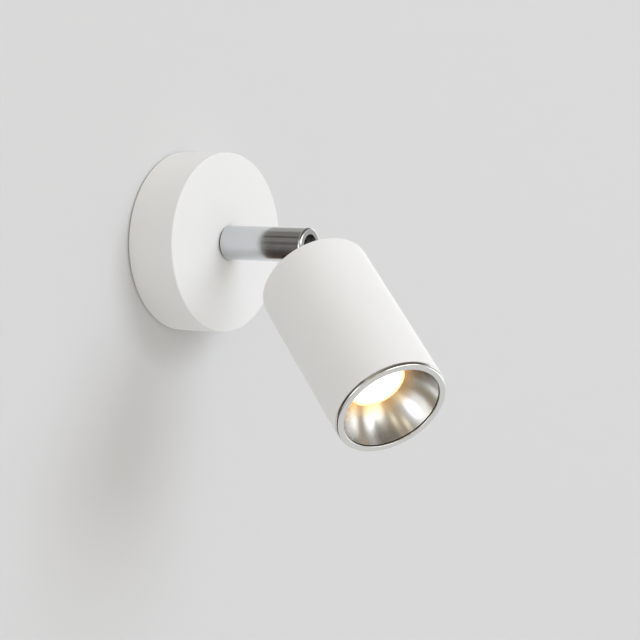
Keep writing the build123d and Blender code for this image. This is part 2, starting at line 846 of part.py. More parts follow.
with BuildPart() as holder_screws:
    head_seat = head_frame.offset(diffuser_front - holder_counterbore)
    with BuildSketch(head_seat):
        with GridLocations(holder_screw_spacing, 0, 2, 1):
            Circle(screw_head_diameter / 2)
    extrude(amount=screw_head_height)
    with BuildSketch(head_frame.offset(sink_face - holder_screw_depth)):
        with GridLocations(holder_screw_spacing, 0, 2, 1):
            Circle(screw_radius)
    extrude(amount=diffuser_front - holder_counterbore - sink_face + holder_screw_depth)
    with BuildSketch(head_seat.offset(screw_head_height)):
        with GridLocations(holder_screw_spacing, 0, 2, 1):
            Rectangle(screw_slot_width, screw_head_diameter)
    extrude(amount=-screw_slot_depth, mode=Mode.SUBTRACT)

with BuildPart() as diffuser:
    with BuildSketch(head_frame.offset(diffuser_rear)):
        Circle(diffuser_radius)
    extrude(amount=diffuser_thickness)

# Reflector: a bulging bowl from the diffuser to the bezel
mouth = Vector(mouth_radius, reflector_top)
throat = Vector(throat_radius, diffuser_front)
slope = (mouth - throat).normalized()
outward = Vector(slope.Y, -slope.X)
belly = (mouth + throat) / 2 + outward * reflector_bulge
with BuildPart() as reflector:
    with BuildSketch(section(head_frame)):
        with BuildLine():
            ThreePointArc(throat, belly, mouth)
            flange_top = (bezel_recess - seat_clearance, reflector_top)
            flange_bottom = (bezel_recess - seat_clearance, reflector_top - reflector_flange)
            back_mouth = (mouth_radius + reflector_wall / 2, reflector_top - reflector_flange)
            back_belly = belly + outward * reflector_wall
            back_throat = (throat_radius + reflector_wall, diffuser_front)
            Polyline(mouth, flange_top, flange_bottom, back_mouth)
            ThreePointArc(back_mouth, back_belly, back_throat)
            Line(back_throat, throat)
        make_face()
    revolve(axis=centre_line(head_frame))

# Gasket that the bezel's lip presses on the reflector
with BuildPart() as bezel_gasket:
    with BuildSketch(head_frame.offset(reflector_top)):
        Circle(bezel_recess - seat_clearance)
        Circle(opening_radius + gasket_setback, mode=Mode.SUBTRACT)
    extrude(amount=gasket_thickness)

# Bezel
with BuildPart() as bezel:
    with BuildSketch(section(head_frame)):
        with BuildLine():
            Polyline(
                (opening_radius, bezel_seat),
                (opening_radius, bezel_front),
                (bezel_radius, bezel_front),
                (bezel_radius, housing_length),
                (spigot_radius, housing_length),
                (spigot_radius, housing_length - bezel_spigot),
                (bezel_recess, housing_length - bezel_spigot),
                (bezel_recess, bezel_seat),
                close=True,
            )
        make_face()
    revolve(axis=centre_line(head_frame))
    front_edges = bezel.faces().sort_by(centre_line(head_frame))[-1].edges().sort_by(SortBy.RADIUS)
    fillet(front_edges[-1], bezel_outer_edge)
    inner_front = bezel.edges().filter_by(GeomType.CIRCLE).sort_by(centre_line(head_frame))[-2:]
    fillet(inner_front.sort_by(SortBy.RADIUS)[0], bezel_inner_edge)

# Lead from the pivot to the light source
head_route = [
    (0, 0, -neck_length),
    (0, 0, neck_end + head_lead_run),
    (0, -sink_channel_offset, sink_seat - sink_fin_length - head_lead_turn),
    (0, -sink_channel_offset, sink_face - lead_gap),
]
with BuildPart() as head_lead:
    add(lead([head_frame.from_local_coords(point) for point in head_route], flex_diameter).part)
    with Locations(knuckle_frame.origin):
        Sphere(flex_diameter / 2)

# Export
pieces = {
    "canopy": canopy,
    "wall_bracket": wall_bracket,
    "canopy_screws": canopy_screws,
    "cable_grommet": cable_grommet,
    "terminal_block": terminal_block,
    "terminal_clamps": terminal_clamps,
    "terminal_screws": terminal_screws,
    "led_driver": led_driver,
    "driver_screws": driver_screws,
    "supply_leads": supply_leads,
    "driver_lead": driver_lead,
    "earth_screw": earth_screw,
    "earth_tag": earth_tag,
    "earth_lead": earth_lead,
    "swivel_stop_pin": swivel_stop_pin,
    "arm_washer": arm_washer,
    "inner_washer": inner_washer,
    "stop_washer": stop_washer,
    "spring_washer": spring_washer,
    "lock_nut": lock_nut,
    "arm_nipple": arm_nipple,
    "arm_plug": arm_plug,
    "arm_sleeve": arm_sleeve,
    "hinge_fork": hinge_fork,
    "pivot_pins": pivot_pins,
    "friction_cup": friction_cup,
    "cup_spring": cup_spring,
    "arm_lead": arm_lead,
    "knuckle": knuckle,
    "neck_collar": neck_collar,
    "neck_washer": neck_washer,
    "neck_nut": neck_nut,
    "housing": housing,
    "heat_sink": heat_sink,
    "thermal_pad": thermal_pad,
    "led_board": led_board,
    "led_emitter": led_emitter,
    "led_holder": led_holder,
    "holder_screws": holder_screws,
    "diffuser": diffuser,
    "reflector": reflector,
    "bezel_gasket": bezel_gasket,
    "bezel": bezel,
    "head_lead": head_lead,
}
os.makedirs("parts", exist_ok=True)
for label, piece in pieces.items():
    piece.part.label = label
    export_step(piece.part, f"parts/{label}.step")
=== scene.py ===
# %% [markdown]
# # Wall spotlight
#
# A white canopy sits on the wall, a short chrome arm turns in its middle, and a white cylinder
# tilts in the arm's end. The solids come ready from the CAD model. This lesson gives them their
# finishes, turns the pieces that need a cleaner surface, and sets up the wall, the light and the
# camera.

import json
from math import atan2, cos, hypot, pi, radians, sin, tan

import bmesh
import bpy
from mathutils import Matrix, Vector

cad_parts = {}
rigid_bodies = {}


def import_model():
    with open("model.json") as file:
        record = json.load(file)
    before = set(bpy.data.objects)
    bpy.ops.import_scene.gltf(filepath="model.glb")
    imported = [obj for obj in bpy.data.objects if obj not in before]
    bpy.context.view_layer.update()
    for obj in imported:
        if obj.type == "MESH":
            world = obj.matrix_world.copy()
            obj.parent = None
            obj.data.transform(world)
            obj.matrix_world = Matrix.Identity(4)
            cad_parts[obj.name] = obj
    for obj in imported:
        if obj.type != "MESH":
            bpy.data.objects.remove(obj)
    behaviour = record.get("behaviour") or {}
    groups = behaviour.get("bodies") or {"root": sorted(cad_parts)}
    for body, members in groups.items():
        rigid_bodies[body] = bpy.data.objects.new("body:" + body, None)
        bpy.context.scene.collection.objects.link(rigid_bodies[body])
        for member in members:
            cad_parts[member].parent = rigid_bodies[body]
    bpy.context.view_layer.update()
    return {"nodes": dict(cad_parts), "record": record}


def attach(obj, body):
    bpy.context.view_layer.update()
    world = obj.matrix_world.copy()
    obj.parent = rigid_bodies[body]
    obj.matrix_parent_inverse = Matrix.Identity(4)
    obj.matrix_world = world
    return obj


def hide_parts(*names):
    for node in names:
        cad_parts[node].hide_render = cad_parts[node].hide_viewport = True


for leftover in list(bpy.data.objects):
    bpy.data.objects.remove(leftover)
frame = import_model()
nodes = frame["nodes"]
MM = 0.001

# %% [markdown]
# The camera comes first, because every finish is judged through it. A short lens close by would
# make the head look too big for the canopy. A long lens from well back keeps them in proportion,
# as in a product picture. The place and the lens are given in millimetres.

# %% Camera
camera_place = Vector((-950.83, -737.53, 54.49)) * MM
camera_target = Vector((12.25, -84.14, -41.53)) * MM
camera_data = bpy.data.cameras.new("camera")
camera_data.sensor_width = 36.0
camera_data.lens = 119.925
camera = bpy.data.objects.new("camera", camera_data)
camera.location = camera_place
camera.rotation_euler = (camera_target - camera_place).to_track_quat("-Z", "Y").to_euler()
bpy.context.scene.collection.objects.link(camera)
bpy.context.scene.camera = camera
print("camera distance:", round((camera_target - camera_place).length, 3), "m")

# %% [markdown]
# A few helpers serve all the finishes. One turns a colour, given as an sRGB hex value, into
# the linear numbers that Blender counts with. One adds a node with its settings and links, so
# that each finish below reads as a short recipe. The others start a material and turn a size in
# millimetres into the scale of a texture.

# %% Helpers for node trees

# The Mix node has sockets for several kinds of value. These are the numbers of its factor, its
# two colours and the mixed colour.
FACTOR, COLOUR_A, COLOUR_B, MIXED = 0, 6, 7, 2


def linear(code):
    """Linear colour of an sRGB hex value."""
    values = [int(code[i : i + 2], 16) / 255 for i in (1, 3, 5)]
    return [v / 12.92 if v <= 0.04045 else ((v + 0.055) / 1.055) ** 2.4 for v in values] + [1.0]


def add_node(tree, kind, inputs=None, **settings):
    """One node. An input is a number or colour to set, or another node's output to link."""
    made = tree.nodes.new(kind)
    for name, value in settings.items():
        setattr(made, name, value)
    for key, value in (inputs or {}).items():
        if isinstance(value, bpy.types.NodeSocket):
            tree.links.new(value, made.inputs[key])
        else:
            made.inputs[key].default_value = value
    return made


def start_finish(name, **sockets):
    """A material with one Principled shader. Sockets are its numbers, named with _ for a space."""
    material = bpy.data.materials.new(name)
    material.use_nodes = True
    tree = material.node_tree
    tree.nodes.clear()
    plain = {key.replace("_", " "): value for key, value in sockets.items()}
    shader = add_node(tree, "ShaderNodeBsdfPrincipled", plain)
    add_node(tree, "ShaderNodeOutputMaterial", {"Surface": shader.outputs["BSDF"]})
    place = add_node(tree, "ShaderNodeTexCoord").outputs["Object"]
    return material, tree, shader, place


def per_mm(size):
    """Texture scale for a feature of this many millimetres, as objects are in metres."""
    return 1 / (size * MM)


print("mid grey #808080 in linear light:", round(linear("#808080")[0], 3))

# %% [markdown]
# The arm and the head have their own axes. A finish with turning marks needs them, and so does
# every piece that is turned below. They could be read from a mesh, but the two joint angles and
# two lengths give them exactly. The head's frame has its origin in the middle of the rear face
# and z along the beam.

# %% Axes of the arm and the head
swivel = radians(30.8)
tilt = radians(44.4)
pivot_reach = 74.8
neck_length = 30.8
arm_axis = Vector((0, -1, 0))
hinge_axis = Vector((cos(swivel), 0, -sin(swivel)))
arm_side = arm_axis.cross(hinge_axis)
arm_turn = Matrix((hinge_axis, arm_side, arm_axis)).transposed().to_euler()
head_axis = arm_axis * cos(tilt) - arm_side * sin(tilt)
head_side = head_axis.cross(hinge_axis)
head_origin = (arm_axis * pivot_reach + head_axis * neck_length) * MM
head_frame = Matrix((hinge_axis, head_side, head_axis)).transposed().to_4x4()
head_frame.translation = head_origin
head_turn = head_frame.to_euler()
print("beam direction:", [round(v, 4) for v in head_axis])

# %% [markdown]
# Canopy and head are powder coated: dry white powder is sprayed on the metal and melted in an
# oven. It flows into a matt skin with a faint orange-peel texture about a millimetre across, and
# a finer grit on top, which is drawn coarser than the real one so that it works in a picture.
# Both could be modelled, but they are only hundredths of a millimetre deep, so bump is enough.
# The paint has one colour, which drifts a little over some centimetres.

# %% Powder coat
drift_size, peel_size, grit_size = 35, 0.9, 0.3
peel_depth = 0.05
grit_share = 0.35
powder_coat, tree, shader, place = start_finish(
    "powder_coat_matt_white", Roughness=0.55, IOR=1.5
)
drift = add_node(
    tree, "ShaderNodeTexNoise", {"Vector": place, "Scale": per_mm(drift_size), "Detail": 2.0}
)
paint = add_node(
    tree,
    "ShaderNodeMix",
    {FACTOR: drift.outputs["Fac"], COLOUR_A: linear("#EFEFEE"), COLOUR_B: linear("#F3F3F2")},
    data_type="RGBA",
)
tree.links.new(paint.outputs[MIXED], shader.inputs["Base Color"])
peel = add_node(
    tree, "ShaderNodeTexNoise", {"Vector": place, "Scale": per_mm(peel_size), "Detail": 1.0}
)
grit = add_node(
    tree, "ShaderNodeTexNoise", {"Vector": place, "Scale": per_mm(grit_size), "Detail": 2.0}
)
skin = add_node(
    tree,
    "ShaderNodeMath",
    {0: grit.outputs["Fac"], 1: grit_share, 2: peel.outputs["Fac"]},
    operation="MULTIPLY_ADD",
)
coat_bump = add_node(
    tree,
    "ShaderNodeBump",
    {"Strength": 0.25, "Distance": peel_depth * MM, "Height": skin.outputs[0]},
)
tree.links.new(coat_bump.outputs["Normal"], shader.inputs["Normal"])
print("finish:", powder_coat.name)

# %% [markdown]
# The arm, the bezel and the small collar are turned on a lathe, polished and chrome plated.
# Turning leaves very fine rings around the axis. They are far finer than a pixel, but together
# they smear a reflection along the axis and not around it. Roughness alone would smear it both
# ways, so the chrome gets a ring bump that only changes along the piece's own axis. The rings
# are drawn at a quarter of a millimetre, coarser than real ones, so that they work in a picture.

# %% Chrome plating
turning_mark = 0.25
turning_depth = 0.004
haze_size = 6


def chrome_plating(name, colour, location, turn):
    """Chrome with rings along the z axis of a frame, given by its place and its turn."""
    material, tree, shader, place = start_finish(name, Metallic=1.0)
    shader.inputs["Base Color"].default_value = linear(colour)
    along = add_node(
        tree,
        "ShaderNodeMapping",
        {"Vector": place, "Location": location, "Rotation": turn},
        vector_type="TEXTURE",
    )
    height = add_node(tree, "ShaderNodeSeparateXYZ", {0: along.outputs[0]}).outputs["Z"]
    rings = add_node(
        tree,
        "ShaderNodeTexNoise",
        {"W": height, "Scale": per_mm(turning_mark), "Detail": 2.0},
        noise_dimensions="1D",
    )
    ring_bump = add_node(
        tree,
        "ShaderNodeBump",
        {"Strength": 1.0, "Distance": turning_depth * MM, "Height": rings.outputs["Fac"]},
    )
    tree.links.new(ring_bump.outputs["Normal"], shader.inputs["Normal"])
    haze = add_node(
        tree, "ShaderNodeTexNoise", {"Vector": place, "Scale": per_mm(haze_size), "Detail": 3.0}
    )
    gloss = add_node(
        tree,
        "ShaderNodeMapRange",
        {"Value": haze.outputs["Fac"], "To Min": 0.10, "To Max": 0.16},
    )
    tree.links.new(gloss.outputs[0], shader.inputs["Roughness"])
    print("finish:", material.name)
    return material


arm_chrome = chrome_plating("chrome_plated_steel_arm", "#D4D7DA", (0, 0, 0), arm_turn)
head_chrome = chrome_plating("chrome_plated_steel_head", "#D5D5D4", head_origin, head_turn)

# %% [markdown]
# The reflector is spun from aluminium sheet and left satin. A spinning tool presses the sheet
# onto a form as it turns, which leaves fine rings around the axis. A lamp mirrored in them is
# drawn out across the rings, from the middle of the bowl to its mouth. A strong ring bump would
# give that with a lot of noise. Anisotropy gives it cleanly: the tangent runs around the axis,
# and the gloss is turned a quarter from it. A faint bump stays for the rings themselves, at
# three tenths of a millimetre, coarser than real ones, so that they work in a picture.

# %% Spun aluminium
spinning_mark = 0.3
spinning_depth = 0.004
quarter_turn = 0.25
spun_aluminium, tree, shader, place = start_finish(
    "spun_aluminium_satin", Metallic=1.0, Anisotropic=0.6, Anisotropic_Rotation=quarter_turn
)
from_origin = add_node(
    tree, "ShaderNodeVectorMath", {0: place, 1: head_origin}, operation="SUBTRACT"
).outputs[0]
around = add_node(
    tree, "ShaderNodeVectorMath", {0: head_axis, 1: from_origin}, operation="CROSS_PRODUCT"
)
tangent = add_node(
    tree,
    "ShaderNodeVectorTransform",
    {0: around.outputs[0]},
    vector_type="VECTOR",
    convert_from="OBJECT",
    convert_to="WORLD",
)
tree.links.new(tangent.outputs[0], shader.inputs["Tangent"])
depth = add_node(
    tree, "ShaderNodeVectorMath", {0: head_axis, 1: from_origin}, operation="DOT_PRODUCT"
).outputs["Value"]
rings = add_node(
    tree,
    "ShaderNodeTexNoise",
    {"W": depth, "Scale": per_mm(spinning_mark), "Detail": 2.0},
    noise_dimensions="1D",
)
spin_bump = add_node(
    tree,
    "ShaderNodeBump",
    {"Strength": 1.0, "Distance": spinning_depth * MM, "Height": rings.outputs["Fac"]},
)
tree.links.new(spin_bump.outputs["Normal"], shader.inputs["Normal"])
print("finish:", spun_aluminium.name)

# %% [markdown]
# Next to the lit disc the bowl looks different: the tool leaves a rougher ground there, and an
# amber tint is painted into the base colour for the warm glow from the disc's rim, a painted
# light.
# A mask could be painted, but the depth in the bowl, measured along the head's axis, already says
# how near the disc is. Two ramps over that depth set the gloss and the painted glow colour.

# %% Spun aluminium near the disc
glow_height = 80.9
even_gloss_height = 89.0
painted_glow_end_height = 88.5
gloss = add_node(
    tree,
    "ShaderNodeMapRange",
    {
        "Value": depth,
        "From Min": glow_height * MM,
        "From Max": even_gloss_height * MM,
        "To Min": 0.36,
        "To Max": 0.22,
    },
    interpolation_type="SMOOTHSTEP",
)
tree.links.new(gloss.outputs[0], shader.inputs["Roughness"])
painted_glow_fade = add_node(
    tree,
    "ShaderNodeMapRange",
    {"Value": depth, "From Min": glow_height * MM, "From Max": painted_glow_end_height * MM},
    interpolation_type="SMOOTHSTEP",
)
# Painted glow: amber mixed into the base colour near the disc, standing in for the disc's warm
# light.
painted_glow_tint = add_node(
    tree,
    "ShaderNodeMix",
    {FACTOR: painted_glow_fade.outputs[0], COLOUR_A: linear("#E7C897"), COLOUR_B: linear("#D1D1CF")},
    data_type="RGBA",
)
tree.links.new(painted_glow_tint.outputs[MIXED], shader.inputs["Base Color"])
print("amber tint over", round(painted_glow_end_height - glow_height, 1), "mm of depth")

# %% [markdown]
# The disc in the bowl is opal acrylic with the light source behind it. Opal sheet scatters the
# light, so the disc is white in front of the source and turns to amber at its rim, where the
# light has gone through more of the sheet. A lamp behind real opal sheet would need many samples
# to be clean. A ramp of the emission's colour over the distance from the head's axis looks the
# same at once.

# %% Lit acrylic
white_radius = 12.0
throat_radius = 15.6
lit_acrylic, tree, shader, place = start_finish(
    "opal_acrylic_lit", Roughness=0.4, IOR=1.49, Emission_Strength=1.3
)
shader.inputs["Base Color"].default_value = linear("#F4EEE2")
in_head = add_node(
    tree,
    "ShaderNodeMapping",
    {"Vector": place, "Location": head_origin, "Rotation": head_turn},
    vector_type="TEXTURE",
)
across = add_node(tree, "ShaderNodeSeparateXYZ", {0: in_head.outputs[0]})
flat_place = add_node(
    tree, "ShaderNodeCombineXYZ", {"X": across.outputs["X"], "Y": across.outputs["Y"]}
)
radius = add_node(tree, "ShaderNodeVectorMath", {0: flat_place.outputs[0]}, operation="LENGTH")
outward = add_node(
    tree,
    "ShaderNodeMapRange",
    {
        "Value": radius.outputs["Value"],
        "From Min": white_radius * MM,
        "From Max": throat_radius * MM,
    },
    interpolation_type="SMOOTHERSTEP",
)
warmth = add_node(
    tree,
    "ShaderNodeMix",
    {FACTOR: outward.outputs[0], COLOUR_A: linear("#FFF8EE"), COLOUR_B: linear("#FFB765")},
    data_type="RGBA",
)
tree.links.new(warmth.outputs[MIXED], shader.inputs["Emission Color"])
print("finish:", lit_acrylic.name)

# %% [markdown]
# The rest hides behind the canopy or inside the head, and shows only from behind or through a
# gap. Each gets what its real material shows: a cloudy zinc plating, dull brass, moulded nylon,
# rubber and plastic sheaths. Each could have a tree of its own, but at this size they differ
# only in colour, grain and gloss. So they share one recipe: a colour that drifts between two
# tones, a gloss that drifts with it, and a fine bump.

# %% Recipe of the hidden pieces
gloss_drift = 0.06
fine_share = 10


def simple_finish(name, dark, light, size, roughness, bump, metallic):
    """Two tones that drift over a size in millimetres, with a finer bump of its own depth."""
    material, tree, shader, place = start_finish(name, Metallic=metallic)
    grain = add_node(
        tree, "ShaderNodeTexNoise", {"Vector": place, "Scale": per_mm(size), "Detail": 3.0}
    )
    tone = add_node(
        tree,
        "ShaderNodeMix",
        {FACTOR: grain.outputs["Fac"], COLOUR_A: linear(dark), COLOUR_B: linear(light)},
        data_type="RGBA",
    )
    tree.links.new(tone.outputs[MIXED], shader.inputs["Base Color"])
    gloss = add_node(
        tree,
        "ShaderNodeMapRange",
        {
            "Value": grain.outputs["Fac"],
            "To Min": roughness - gloss_drift,
            "To Max": roughness + gloss_drift,
        },
    )
    tree.links.new(gloss.outputs[0], shader.inputs["Roughness"])
    fine = add_node(
        tree,
        "ShaderNodeTexNoise",
        {"Vector": place, "Scale": per_mm(size / fine_share), "Detail": 2.0},
    )
    relief = add_node(
        tree,
        "ShaderNodeBump",
        {"Strength": 0.3, "Distance": bump * MM, "Height": fine.outputs["Fac"]},
    )
    tree.links.new(relief.outputs["Normal"], shader.inputs["Normal"])
    return material


print("gloss drifts by", gloss_drift, "either way")

# %% [markdown]
# The table below has one row for each material slot of the CAD model: the finish's name, its two
# tones, the size of its grain in millimetres, its roughness, the depth of its bump in
# millimetres, and 1 for a metal. A table is easier to compare and to change than eleven calls.

# %% Finishes of the hidden pieces
recipes = {
    "zinc_steel": ("zinc_plated_steel", "#A9ACB0", "#C3C6C9", 8, 0.48, 0.02, 1.0),
    "dark_steel": ("blackened_steel", "#787572", "#8E8B88", 5, 0.5, 0.02, 1.0),
    "plain_aluminium": ("extruded_aluminium", "#BDBFC1", "#D2D3D4", 6, 0.38, 0.02, 1.0),
    "brass": ("turned_brass", "#B08D4A", "#CBA862", 5, 0.32, 0.01, 1.0),
    "black_rubber": ("black_rubber", "#161616", "#222120", 4, 0.72, 0.03, 0.0),
    "dark_nylon": ("black_nylon", "#1E1E1E", "#2A2A29", 4, 0.55, 0.02, 0.0),
    "white_nylon": ("white_nylon", "#DCDBD6", "#E9E8E4", 7, 0.5, 0.02, 0.0),
    "grey_silicone": ("grey_silicone_pad", "#7E8083", "#8C8E90", 4, 0.7, 0.02, 0.0),
    "led_phosphor": ("yellow_phosphor_gel", "#D9A92A", "#EBC24A", 3, 0.35, 0.01, 0.0),
    "lead_sheath": ("grey_plastic_sheath", "#A5A5A3", "#B3B3B1", 9, 0.45, 0.01, 0.0),
    "earth_sheath": ("green_plastic_sheath", "#4E8A2B", "#5F9A38", 9, 0.45, 0.01, 0.0),
}
hidden_finishes = {slot: simple_finish(*recipe) for slot, recipe in recipes.items()}
print("finishes of hidden pieces:", len(hidden_finishes))

# %% [markdown]
# Housing, bezel, reflector and collar are turned parts: a flat section swept once around an axis.
# The Screw modifier could sweep them too, but a lathe in Geometry Nodes shows the rule itself and
# takes its sizes by name. The tree gets the section as a closed loop of points in the x-z plane.
# It lays a grid with one row for each point and one column for each step around, plus one of
# each to close the shape, and looks up which section point every grid point stands for.

# %% Lathe: a grid over the section
lathe = bpy.data.node_groups.new("turned_piece", "GeometryNodeTree")
lathe.interface.new_socket("Section", in_out="INPUT", socket_type="NodeSocketGeometry")
lathe.interface.new_socket("Steps around", in_out="INPUT", socket_type="NodeSocketInt")
lathe.interface.new_socket("Finish", in_out="INPUT", socket_type="NodeSocketMaterial")
lathe.interface.new_socket("Piece", in_out="OUTPUT", socket_type="NodeSocketGeometry")
given = add_node(lathe, "NodeGroupInput").outputs
section_size = add_node(
    lathe, "GeometryNodeAttributeDomainSize", {0: given["Section"]}, component="MESH"
).outputs["Point Count"]
rows = add_node(
    lathe, "ShaderNodeMath", {0: section_size, 1: 1.0}, operation="ADD"
).outputs[0]
columns = add_node(
    lathe, "ShaderNodeMath", {0: given["Steps around"], 1: 1.0}, operation="ADD"
).outputs[0]
grid = add_node(lathe, "GeometryNodeMeshGrid", {"Vertices X": columns, "Vertices Y": rows})
index = add_node(lathe, "GeometryNodeInputIndex").outputs[0]
share = add_node(lathe, "ShaderNodeMath", {0: index, 1: rows}, operation="DIVIDE").outputs[0]
column = add_node(lathe, "ShaderNodeMath", {0: share}, operation="FLOOR").outputs[0]
row = add_node(
    lathe, "ShaderNodeMath", {0: index, 1: rows}, operation="FLOORED_MODULO"
).outputs[0]
point = add_node(
    lathe, "ShaderNodeMath", {0: row, 1: section_size}, operation="FLOORED_MODULO"
).outputs[0]
position = add_node(lathe, "GeometryNodeInputPosition").outputs[0]
section_point = add_node(
    lathe,
    "GeometryNodeSampleIndex",
    {"Geometry": given["Section"], "Value": position, "Index": point},
    data_type="FLOAT_VECTOR",
    domain="POINT",
).outputs["Value"]
print("lathe inputs:", [socket.name for socket in given if socket.name])

# %% [markdown]
# Then every grid point moves to its section point, turned by its column's angle. The first and
# the last row and column fall on each other, so a merge closes the shell. Many steps around give
# polished metal the smooth reflections that a few flat facets would break.

# %% Lathe: turn, close and finish
merge_distance = 0.001 * MM
step = add_node(
    lathe, "ShaderNodeMath", {0: 2 * pi, 1: given["Steps around"]}, operation="DIVIDE"
).outputs[0]
angle = add_node(lathe, "ShaderNodeMath", {0: column, 1: step}, operation="MULTIPLY").outputs[0]
turned_point = add_node(
    lathe,
    "ShaderNodeVectorRotate",
    {"Vector": section_point, "Angle": angle},
    rotation_type="Z_AXIS",
).outputs[0]
shape = add_node(
    lathe,
    "GeometryNodeSetPosition",
    {"Geometry": grid.outputs["Mesh"], "Position": turned_point},
)
closed = add_node(
    lathe,
    "GeometryNodeMergeByDistance",
    {"Geometry": shape.outputs[0], "Distance": merge_distance},
)
smooth = add_node(lathe, "GeometryNodeSetShadeSmooth", {"Geometry": closed.outputs[0]})
whole = add_node(lathe, "GeometryNodeRealizeInstances", {"Geometry": smooth.outputs[0]})
finished = add_node(
    lathe, "GeometryNodeSetMaterial", {"Geometry": whole.outputs[0], "Material": given["Finish"]}
)
add_node(lathe, "NodeGroupOutput", {0: finished.outputs[0]})
socket_id = {item.name: item.identifier for item in lathe.interface.items_tree}
print("lathe nodes:", len(lathe.nodes))

# %% [markdown]
# A section is written as a machinist would: its corners as radius and height in millimetres, each
# with the round that breaks the edge. Real edges are never sharp, and the thin light line along a
# rounded edge is what makes metal look like metal. The Bevel modifier could round them all alike.
# Here each edge has its own round, so a helper draws the rounds as short arcs. It adds a point
# close to each end of a long run, so that smooth shading doesn't spread from the round over the
# flat.

# %% Sections with rounded corners


def shorter_way(angle):
    """The same angle between minus and plus half a turn."""
    return (angle + pi) % (2 * pi) - pi


def rounded_section(corners, arc_points=7, guard=0.12):
    """Points of a closed section from (radius, height, round) corners."""
    points = []
    for i, (radius, height, size) in enumerate(corners):
        here = Vector((radius, height))
        if size == 0:
            points.append(here)
            continue
        before = Vector(corners[i - 1][:2]) - here
        after = Vector(corners[(i + 1) % len(corners)][:2]) - here
        half = before.angle(after) / 2
        before.normalize()
        after.normalize()
        start = here + before * (size / tan(half))
        end = here + after * (size / tan(half))
        centre = here + (before + after).normalized() * (size / sin(half))
        first = atan2(start.y - centre.y, start.x - centre.x)
        sweep = shorter_way(atan2(end.y - centre.y, end.x - centre.x) - first)
        points.append(start + before * guard)
        for k in range(arc_points):
            turn = first + sweep * k / (arc_points - 1)
            points.append(centre + Vector((cos(turn), sin(turn))) * size)
        points.append(end + after * guard)
    return points


square = rounded_section([(0, 0, 1), (9, 0, 1), (9, 9, 1), (0, 9, 1)])
print("points of a square section with four rounds:", len(square))

# %% [markdown]
# Four pieces go through the lathe in the same way, so one more helper does it. It hangs the tree
# on a blank, keeps the result as a plain mesh in the head's frame, and turns the faces outwards
# if they point in. A live modifier could stay on the piece, but a plain mesh is what the export
# needs. The new piece rides on its body and stands for its CAD solid, with the same section.

# %% From a section to a piece
sharp_edge = radians(30)


def turn_piece(name, section, finish, body, node, steps=256):
    """Runs a section through the lathe and lets the piece stand for a CAD node."""
    loop = bpy.data.meshes.new(name + "_section")
    edges = [(i, (i + 1) % len(section)) for i in range(len(section))]
    loop.from_pydata([(p.x * MM, 0, p.y * MM) for p in section], edges, [])
    blank = bpy.data.objects.new(name + "_blank", loop)
    bpy.context.scene.collection.objects.link(blank)
    turning = blank.modifiers.new("turning", "NODES")
    turning.node_group = lathe
    turning[socket_id["Steps around"]] = steps
    turning[socket_id["Finish"]] = finish
    ready = blank.evaluated_get(bpy.context.evaluated_depsgraph_get())
    mesh = bpy.data.meshes.new_from_object(ready)
    bpy.data.objects.remove(blank)
    bpy.data.meshes.remove(loop)
    mesh.name = name
    mesh.transform(head_frame)
    shell = bmesh.new()
    shell.from_mesh(mesh)
    if shell.calc_volume(signed=True) < 0:
        bmesh.ops.reverse_faces(shell, faces=shell.faces)
        shell.to_mesh(mesh)
    volume = shell.calc_volume()
    shell.free()
    mesh.set_sharp_from_angle(angle=sharp_edge)
    piece = bpy.data.objects.new(name, mesh)
    bpy.context.scene.collection.objects.link(piece)
    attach(piece, body)
    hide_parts(node)
    print(name, "faces:", len(mesh.polygons), "volume in mm3:", round(volume / MM**3))


# %% [markdown]
# The housing is a cup turned from aluminium: a closed rear with a hole for the neck, a step
# inside that the heat sink seats on, and a plain open front. The CAD solid could stay, but its
# facets show along the long straight sides when light grazes them. The turned copy is smoother.
# Its rear edge has a round that shows as a soft bright rim.

# %% Housing
housing_radius = 30.5
housing_bore = 28.5
housing_rear_bore = 27.5
housing_length = 97.9
rear_wall = 3.0
neck_hole = 3.6
sink_seat = 62.9
housing_section = rounded_section(
    [
        (neck_hole, 0, 0.2),
        (housing_radius, 0, 1.5),
        (housing_radius, housing_length, 0.3),
        (housing_bore, housing_length, 0.15),
        (housing_bore, sink_seat, 0),
        (housing_rear_bore, sink_seat, 0),
        (housing_rear_bore, rear_wall, 0),
        (neck_hole, rear_wall, 0),
    ]
)
turn_piece("housing_turned", housing_section, powder_coat, "head", "housing")

# %% [markdown]
# The bezel screws into the housing's mouth and holds the reflector. It is one ring: a flat front
# face, a rounded outer edge, a narrow side that stands clear of the housing's rim, and a thin
# spigot behind it. A torus would be quicker, but it has no flat face, and the flat face between
# two bright edges is what the eye knows as a turned ring.

# %% Bezel
bezel_front = 100.1
bezel_seat = 99.5
bezel_radius = 30.2
opening_radius = 26.5
spigot_radius = 28.4
spigot_length = 9.0
spigot_end = housing_length - spigot_length
bezel_recess = 27.3
bezel_section = rounded_section(
    [
        (opening_radius, bezel_seat, 0.1),
        (opening_radius, bezel_front, 0.4),
        (bezel_radius, bezel_front, 1.0),
        (bezel_radius, housing_length, 0.2),
        (spigot_radius, housing_length, 0),
        (spigot_radius, spigot_end, 0.2),
        (bezel_recess, spigot_end, 0.2),
        (bezel_recess, bezel_seat, 0),
    ]
)
turn_piece("bezel_turned", bezel_section, head_chrome, "head", "bezel")

# %% [markdown]
# The bowl's wall is curved, so its section needs an arc. It could be given by its centre, but a
# maker knows where the arc starts and ends and how far it bulges. A helper finds the circle
# through three such points and walks along it.

# %% Arc through three points


